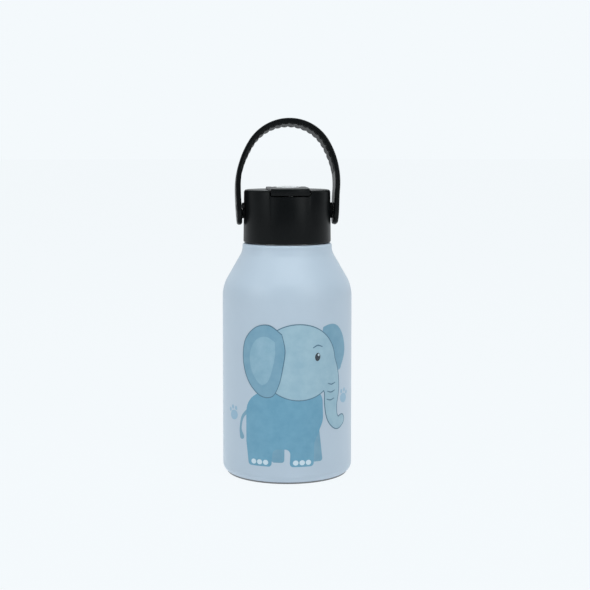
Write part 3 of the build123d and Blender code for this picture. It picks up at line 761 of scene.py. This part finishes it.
# %% Draw the calf
head = oval(4.5, 63, 20.5, 19.0, -6, 72)
far_ear = ribbon([(17, 78, 2.5), (24, 76, 5.5), (29, 68, 5.0), (28, 60, 2.5)])
near_ear = flowing([(-4.5, 77), (-11, 81.5), (-18.5, 80), (-24.5, 73), (-25.5, 63), (-22.5, 53.5), (-16, 46.5),
                    (-9.5, 46), (-6, 52), (-4.2, 60), (-3, 69), (-4.5, 77)])[:-1]
ear_fold = flowing([(-8, 73.5), (-12.5, 76), (-17.5, 74.5), (-21, 69), (-21.4, 62), (-19, 55.5), (-15, 51.5),
                    (-11.5, 53.5), (-9.4, 59), (-7.8, 67), (-8, 73.5)])[:-1]
trunk = [(16, 64, 8.5), (21, 56, 6.6), (23.2, 48, 5.0), (22.6, 40.5, 4.0), (23.6, 34, 3.4), (27, 30.4, 2.9),
         (30.6, 31.6, 2.5)]
torso = rounded([(-12, 50, 8), (-24, 43, 11), (-24, 22, 4), (-22.4, 10.0, 1.8), (-9.8, 10.0, 1.8),
                 (-9.0, 19, 2.6), (0.0, 19, 2.6), (-0.5, 10.0, 1.8), (12, 10.0, 1.8), (12.4, 22, 4), (17.5, 33, 9),
                 (17, 50, 8)], 8, True)
far_legs = [rounded([(-9.5, 24), (-9.8, 12.2, 1.4), (-3.2, 12.2, 1.4), (-3.0, 24)], 5, True),
            rounded([(10, 28), (11.2, 12.2, 1.4), (17.2, 12.2, 1.4), (15.0, 30)], 5, True)]
tail = [(-22.5, 38, 1.0), (-26.5, 34, 0.8), (-28.0, 28, 0.7), (-27.0, 24, 1.5)]
film("print_far_ear", far_ear, 0, "ink_ear")
for k, leg in enumerate(far_legs):
    film("print_far_leg_%d" % (k + 1), leg, 0, "ink_ear")
film("print_tail", ribbon(tail), 0, "ink_ear")
film("print_body", torso, 1, "ink_body")
film("print_trunk_edge", ribbon(trunk, LINE), 2, "ink_line")
film("print_head_edge", grown(head, LINE), 3, "ink_line")
film("print_trunk", ribbon(trunk), 4, "ink_head")
film("print_head", head, 5, "ink_head")
film("print_ear_edge", grown(near_ear, LINE), 6, "ink_line")
film("print_ear", near_ear, 7, "ink_ear")
film("print_ear_fold", ear_fold, 8, "ink_fold")
film("print_eye", oval(14.2, 65.5, 1.5, 2.1, -8), 6, "ink_dark")
film("print_eye_light", oval(14.7, 66.5, 0.5, 0.6), 7, "ink_pale")
film("print_brow", ribbon([(11.6, 70.2, 0.25), (14.2, 71.4, 0.35), (16.8, 70.6, 0.25)]), 6, "ink_line")
for k, (u, z) in enumerate(((23.0, 51.5), (22.6, 47.5), (22.2, 43.5))):
    film("print_trunk_fold_%d" % (k + 1), ribbon([(u - 2.6, z, 0.2), (u - 0.2, z - 0.7, 0.3), (u + 2.4, z, 0.2)]),
         5, "ink_line")
for k, u in enumerate((-19.4, -16.1, -12.8, 2.6, 5.9, 9.2)):
    film("print_toenail_%d" % (k + 1), oval(u, 12.1, 1.4, 1.3), 2, "ink_pale")
for k, (turn, z, tilt) in enumerate(((-59, 36, 14), (53, 45, -12))):
    u = radians(turn) * BODY_R
    film("print_foot_pad_%d" % (k + 1), oval(u, z, 3.4, 2.7, tilt), 0, "ink_step", 1)
    for n, (du, dz) in enumerate(((-2.8, 3.4), (0, 4.5), (2.8, 3.4))):
        c, s = cos(radians(tilt)), sin(radians(tilt))
        toe = oval(u + du * c - dz * s, z + du * s + dz * c, 1.0, 1.2, tilt)
        film("print_foot_toe_%d_%d" % (k + 1, n + 1), toe, 0, "ink_step", 1)
print(len(films), "ink films")

# %% [markdown]
# ## Finishes
# Each finish is a node material on Object coordinates. Two effects are shared as node groups: a grain, which
# gives the fine relief of paint and moulded plastic and the broad patches of wear, and turning lines, which give
# drawn steel its rings. Colours and roughness drift a little with the patches, as on real surfaces.


# %% The two shared groups
def new_group(name, inputs, outputs):
    group = bpy.data.node_groups.new(name, "ShaderNodeTree")
    for label, value in inputs:
        group.interface.new_socket(label, in_out="INPUT", socket_type="NodeSocketFloat").default_value = value
    for label in outputs:
        group.interface.new_socket(label, in_out="OUTPUT", socket_type="NodeSocketFloat")
    return group, group.nodes.new("NodeGroupInput"), group.nodes.new("NodeGroupOutput")


def noise(tree, vector, scale, detail=2.0, roughness=0.5):
    node = tree.nodes.new("ShaderNodeTexNoise")
    node.inputs["Detail"].default_value = detail
    node.inputs["Roughness"].default_value = roughness
    tree.links.new(vector, node.inputs["Vector"])
    if isinstance(scale, (int, float)):
        node.inputs["Scale"].default_value = scale
    else:
        tree.links.new(scale, node.inputs["Scale"])
    return node.outputs["Fac"]


grain_group, grain_in, grain_out = new_group(
    "fine_grain", [("Grain", 2500.0), ("Patch", 60.0)], ["Height", "Mask"])
place = grain_group.nodes.new("ShaderNodeTexCoord").outputs["Object"]
grain_group.links.new(noise(grain_group, place, grain_in.outputs["Grain"], 3.0), grain_out.inputs["Height"])
patch = noise(grain_group, place, grain_in.outputs["Patch"], 4.0, 0.6)
stretch = grain_group.nodes.new("ShaderNodeMapRange")
stretch.inputs["From Min"].default_value = 0.3
stretch.inputs["From Max"].default_value = 0.7
grain_group.links.new(patch, stretch.inputs["Value"])
grain_group.links.new(stretch.outputs["Result"], grain_out.inputs["Mask"])

rings_group, rings_in, rings_out = new_group("turning_lines", [("Lines", 4000.0)], ["Height"])
place = rings_group.nodes.new("ShaderNodeTexCoord").outputs["Object"]
split = rings_group.nodes.new("ShaderNodeSeparateXYZ")
rings_group.links.new(place, split.inputs["Vector"])
flat = rings_group.nodes.new("ShaderNodeCombineXYZ")
rings_group.links.new(split.outputs["X"], flat.inputs["X"])
rings_group.links.new(split.outputs["Y"], flat.inputs["Y"])
length = rings_group.nodes.new("ShaderNodeVectorMath")
length.operation = "LENGTH"
rings_group.links.new(flat.outputs["Vector"], length.inputs[0])
across = rings_group.nodes.new("ShaderNodeCombineXYZ")
rings_group.links.new(length.outputs["Value"], across.inputs["X"])
rings_group.links.new(split.outputs["Z"], across.inputs["Z"])
rings_group.links.new(noise(rings_group, across.outputs["Vector"], rings_in.outputs["Lines"], 2.0),
                      rings_out.inputs["Height"])


# %% One recipe for every finish
def finish(name, light, dark, rough, grain=2500.0, patch=60.0, depth=0.02, lines=0.0, metal=0.0, **fixed):
    """Colour and roughness drift between two values; depth is the grain's relief in millimetres."""
    material = bpy.data.materials.new(name)
    material.use_nodes = True
    tree = material.node_tree
    shader = tree.nodes["Principled BSDF"]
    effect = tree.nodes.new("ShaderNodeGroup")
    effect.node_tree = grain_group
    effect.inputs["Grain"].default_value = grain
    effect.inputs["Patch"].default_value = patch
    blend = tree.nodes.new("ShaderNodeMix")
    blend.data_type = "RGBA"
    blend.inputs["A"].default_value = (*dark, 1)
    blend.inputs["B"].default_value = (*light, 1)
    tree.links.new(effect.outputs["Mask"], blend.inputs["Factor"])
    tree.links.new(blend.outputs["Result"], shader.inputs["Base Color"])
    polish = tree.nodes.new("ShaderNodeMapRange")
    polish.inputs["To Min"].default_value = rough[0]
    polish.inputs["To Max"].default_value = rough[1]
    tree.links.new(effect.outputs["Mask"], polish.inputs["Value"])
    tree.links.new(polish.outputs["Result"], shader.inputs["Roughness"])
    bump = tree.nodes.new("ShaderNodeBump")
    bump.inputs["Distance"].default_value = depth * MM
    source = effect.outputs["Height"]
    if lines:
        rings = tree.nodes.new("ShaderNodeGroup")
        rings.node_tree = rings_group
        rings.inputs["Lines"].default_value = lines
        source = rings.outputs["Height"]
    tree.links.new(source, bump.inputs["Height"])
    tree.links.new(bump.outputs["Normal"], shader.inputs["Normal"])
    shader.inputs["Metallic"].default_value = metal
    for socket, value in fixed.items():
        shader.inputs[socket.replace("_", " ")].default_value = value
    return material


def shade(value):
    """Three numbers from 0 to 255 as written in a paint program, made linear."""
    return tuple((v / 255 / 12.92) if v <= 10 else ((v / 255 + 0.055) / 1.055) ** 2.4 for v in value)


powder = finish("powder_blue", shade((171, 185, 198)), shade((168, 182, 195)), (0.38, 0.46), 1500, 45, 0.03,
                Specular_IOR_Level=0.45)
black = finish("satin_black", (0.0040, 0.0048, 0.0052), (0.0030, 0.0036, 0.0040), (0.32, 0.40), 4500, 90, 0.012,
               Specular_IOR_Level=0.09)
grip_black = finish("grip_black", (0.0050, 0.0056, 0.0060), (0.0040, 0.0045, 0.0050), (0.5, 0.58),
                    3500, 120, 0.015, Specular_IOR_Level=0.18)
pad_grey = finish("pad_grey", shade((197, 199, 200)), shade((190, 192, 193)), (0.42, 0.5), 3500, 80, 0.01)
silicone = finish("milky_silicone", (0.52, 0.53, 0.53), (0.46, 0.47, 0.47), (0.38, 0.46), 3000, 80, 0.01,
                  Subsurface_Weight=0.2, Subsurface_Radius=(0.002, 0.002, 0.002))
steel = finish("drawn_steel", (0.62, 0.61, 0.60), (0.55, 0.545, 0.54), (0.22, 0.34), 2000, 50, 0.004, 5000, 1.0)
# The foot and its plate get a steel colour darkened as painted shade, for the contact shadow and dark reflection
# along the rim under the bottle.
foot_steel_painted_shade = finish("pressed_steel_painted_shade", (0.19, 0.195, 0.2), (0.15, 0.155, 0.16), (0.30, 0.42),
                    2000, 60, 0.006, 3500, 1.0)
pin_finish = finish("pin_steel", (0.6, 0.59, 0.58), (0.52, 0.515, 0.51), (0.2, 0.3), 4000, 150, 0.004, metal=1.0)
getter = finish("getter_metal", (0.3, 0.3, 0.31), (0.22, 0.22, 0.23), (0.5, 0.65), 2500, 200, 0.02, metal=1.0)
glass_bead = finish("sealing_bead", (0.1, 0.16, 0.14), (0.07, 0.12, 0.1), (0.12, 0.2), 1500, 200, 0.01)
liner = finish("liner_white", (0.62, 0.63, 0.63), (0.56, 0.57, 0.57), (0.36, 0.44), 3000, 80, 0.008)
straw_milk = finish("straw_milk", (0.6, 0.62, 0.63), (0.55, 0.57, 0.58), (0.28, 0.34), 2000, 70, 0.005,
                    Subsurface_Weight=0.25, Subsurface_Radius=(0.002, 0.002, 0.002))

# %% Inks, with a brushed unevenness
inks = {}
for name, light, dark in (
        ("ink_head", (146, 175, 188), (132, 164, 180)), ("ink_ear", (112, 151, 171), (98, 141, 163)),
        ("ink_body", (101, 150, 174), (88, 140, 165)), ("ink_fold", (132, 166, 183), (114, 153, 172)),
        ("ink_line", (78, 112, 132), (66, 100, 120)), ("ink_dark", (34, 46, 56), (28, 38, 48)),
        ("ink_pale", (190, 206, 215), (180, 198, 208)), ("ink_step", (140, 171, 192), (130, 163, 185))):
    inks[name] = finish(name, shade(light), shade(dark), (0.42, 0.52), 1500, 160, 0.02)
for piece, ink in films:
    piece.data.materials.clear()
    piece.data.materials.append(inks[ink])

# %% Put every finish on its piece
dressed = [(painted_wall, powder), (steel_foot, foot_steel_painted_shade), (foot_plate, foot_steel_painted_shade), (lid_cap, black),
           (cover_leaf, black), (cover_pad, pad_grey), (handle_arch, black), (handle_ribs, grip_black),
           (right_pin, pin_finish), (left_pin, pin_finish), (soft_spout, silicone), (soft_gasket, silicone),
           (straw_sleeve, silicone), (vent_plug, silicone)]
for piece, material in dressed:
    piece.data.materials.clear()
    piece.data.materials.append(material)
kept_nodes = {"threaded_neck": steel, "inner_flask": steel, "inner_base": steel, "vacuum_getter": getter,
              "seal_bead": glass_bead, "lid_liner": liner, "straw": straw_milk, "hinge_pin": pin_finish}
for node, material in kept_nodes.items():
    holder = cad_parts[node]
    for slot in holder.material_slots:
        slot.material = material
print(len(dressed), "pieces dressed,", len(kept_nodes), "measured nodes kept")

# %% [markdown]
# ## Studio
# The bottle stands on a plain pale floor that runs into a pale backdrop. The room is bright behind and above and
# dark on the camera's side, so the black lid stays deep. Two soft boxes, right of the front and far left, draw
# the two quiet bands down the round wall, and a third above lights the shoulder. The floor glows a little, as
# white paper does under studio lamps, so the lower wall isn't darker than the rest.

# %% Floor
nothing_selected()
bpy.ops.mesh.primitive_plane_add(size=40, location=(0, 0, -0.1 * MM))
floor = bpy.context.object
floor.name = "studio_floor"
paper = bpy.data.materials.new("pale_paper")
paper.use_nodes = True
paper_tree = paper.node_tree
paper_tree.nodes.remove(paper_tree.nodes["Principled BSDF"])
BACKDROP = (0.905, 0.948, 0.974, 1)
bounce = paper_tree.nodes.new("ShaderNodeBsdfDiffuse")
bounce.inputs["Color"].default_value = (0.85, 0.86, 0.87, 1)
glow = paper_tree.nodes.new("ShaderNodeEmission")
glow.inputs["Color"].default_value = BACKDROP
seen = paper_tree.nodes.new("ShaderNodeMixShader")
seen.inputs["Fac"].default_value = 0.98
paper_tree.links.new(bounce.outputs["BSDF"], seen.inputs[1])
paper_tree.links.new(glow.outputs["Emission"], seen.inputs[2])
either = paper_tree.nodes.new("ShaderNodeMixShader")
paper_tree.links.new(paper_tree.nodes.new("ShaderNodeLightPath").outputs["Is Camera Ray"], either.inputs["Fac"])
lit = paper_tree.nodes.new("ShaderNodeEmission")
lit.inputs["Color"].default_value = BACKDROP
lit.inputs["Strength"].default_value = 1.55
spread = paper_tree.nodes.new("ShaderNodeMixShader")
spread.inputs["Fac"].default_value = 0.5
paper_tree.links.new(bounce.outputs["BSDF"], spread.inputs[1])
paper_tree.links.new(lit.outputs["Emission"], spread.inputs[2])
paper_tree.links.new(spread.outputs["Shader"], either.inputs[1])
paper_tree.links.new(seen.outputs["Shader"], either.inputs[2])
paper_tree.links.new(either.outputs["Shader"], paper_tree.nodes["Material Output"].inputs["Surface"])
floor.data.materials.append(paper)

# %% Room light: pale behind and above, dim in front
world = bpy.data.worlds.new("studio")
bpy.context.scene.world = world
world.use_nodes = True
sky = world.node_tree
backdrop = sky.nodes["Background"]
direction = sky.nodes.new("ShaderNodeTexCoord").outputs["Generated"]
parts = sky.nodes.new("ShaderNodeSeparateXYZ")
sky.links.new(direction, parts.inputs["Vector"])
front = sky.nodes.new("ShaderNodeMapRange")
front.interpolation_type = "SMOOTHSTEP"
front.inputs["From Min"].default_value = -0.2
front.inputs["From Max"].default_value = 0.7
front.inputs["To Min"].default_value = 0.05
front.inputs["To Max"].default_value = 0.95
sky.links.new(parts.outputs["Y"], front.inputs["Value"])
backdrop.inputs["Color"].default_value = BACKDROP
sky.links.new(front.outputs["Result"], backdrop.inputs["Strength"])
screen = sky.nodes.new("ShaderNodeBackground")
screen.inputs["Color"].default_value = BACKDROP
choose = sky.nodes.new("ShaderNodeMixShader")
sky.links.new(sky.nodes.new("ShaderNodeLightPath").outputs["Is Camera Ray"], choose.inputs["Fac"])
sky.links.new(backdrop.outputs["Background"], choose.inputs[1])
sky.links.new(screen.outputs["Background"], choose.inputs[2])
sky.links.new(choose.outputs["Shader"], sky.nodes["World Output"].inputs["Surface"])


# %% Soft boxes
LAMP_TINT = (0.94, 0.985, 1.0)
LAMP_AIM = Vector((0, 0, 0.10))


def soft_box_light(name, azimuth, elevation, distance, width, height, power):
    """Azimuth is measured from the front, to the right; the box looks at the middle of the bottle."""
    a, e = radians(azimuth), radians(elevation)
    spot = LAMP_AIM + distance * Vector((sin(a) * cos(e), -cos(a) * cos(e), sin(e)))
    lamp = bpy.data.lights.new(name, "AREA")
    lamp.shape = "RECTANGLE"
    lamp.size = width
    lamp.size_y = height
    lamp.energy = power
    lamp.color = LAMP_TINT
    holder = bpy.data.objects.new(name, lamp)
    bpy.context.collection.objects.link(holder)
    holder.location = spot
    holder.rotation_euler = (LAMP_AIM - spot).to_track_quat("-Z", "Y").to_euler()
    return holder


soft_box_light("right_soft_box", 36, 24, 1.4, 0.45, 0.9, 5.9)
soft_box_light("left_soft_box", -60, 24, 1.4, 0.45, 0.9, 5.9)
soft_box_light("top_soft_box", 5, 76, 1.3, 0.9, 0.9, 15.0)

# %% Camera
camera_data = bpy.data.cameras.new("camera")
camera = bpy.data.objects.new("camera", camera_data)
bpy.context.collection.objects.link(camera)
camera.location = (-0.0601, -0.7316, 0.1834)
camera.rotation_euler = (radians(86), 0, radians(-4.7))
camera_data.lens = 79.4
camera_data.sensor_width = 36
camera_data.shift_x = 0.0132
camera_data.shift_y = -0.0953
bpy.context.scene.camera = camera
bpy.context.scene.view_settings.view_transform = "Standard"
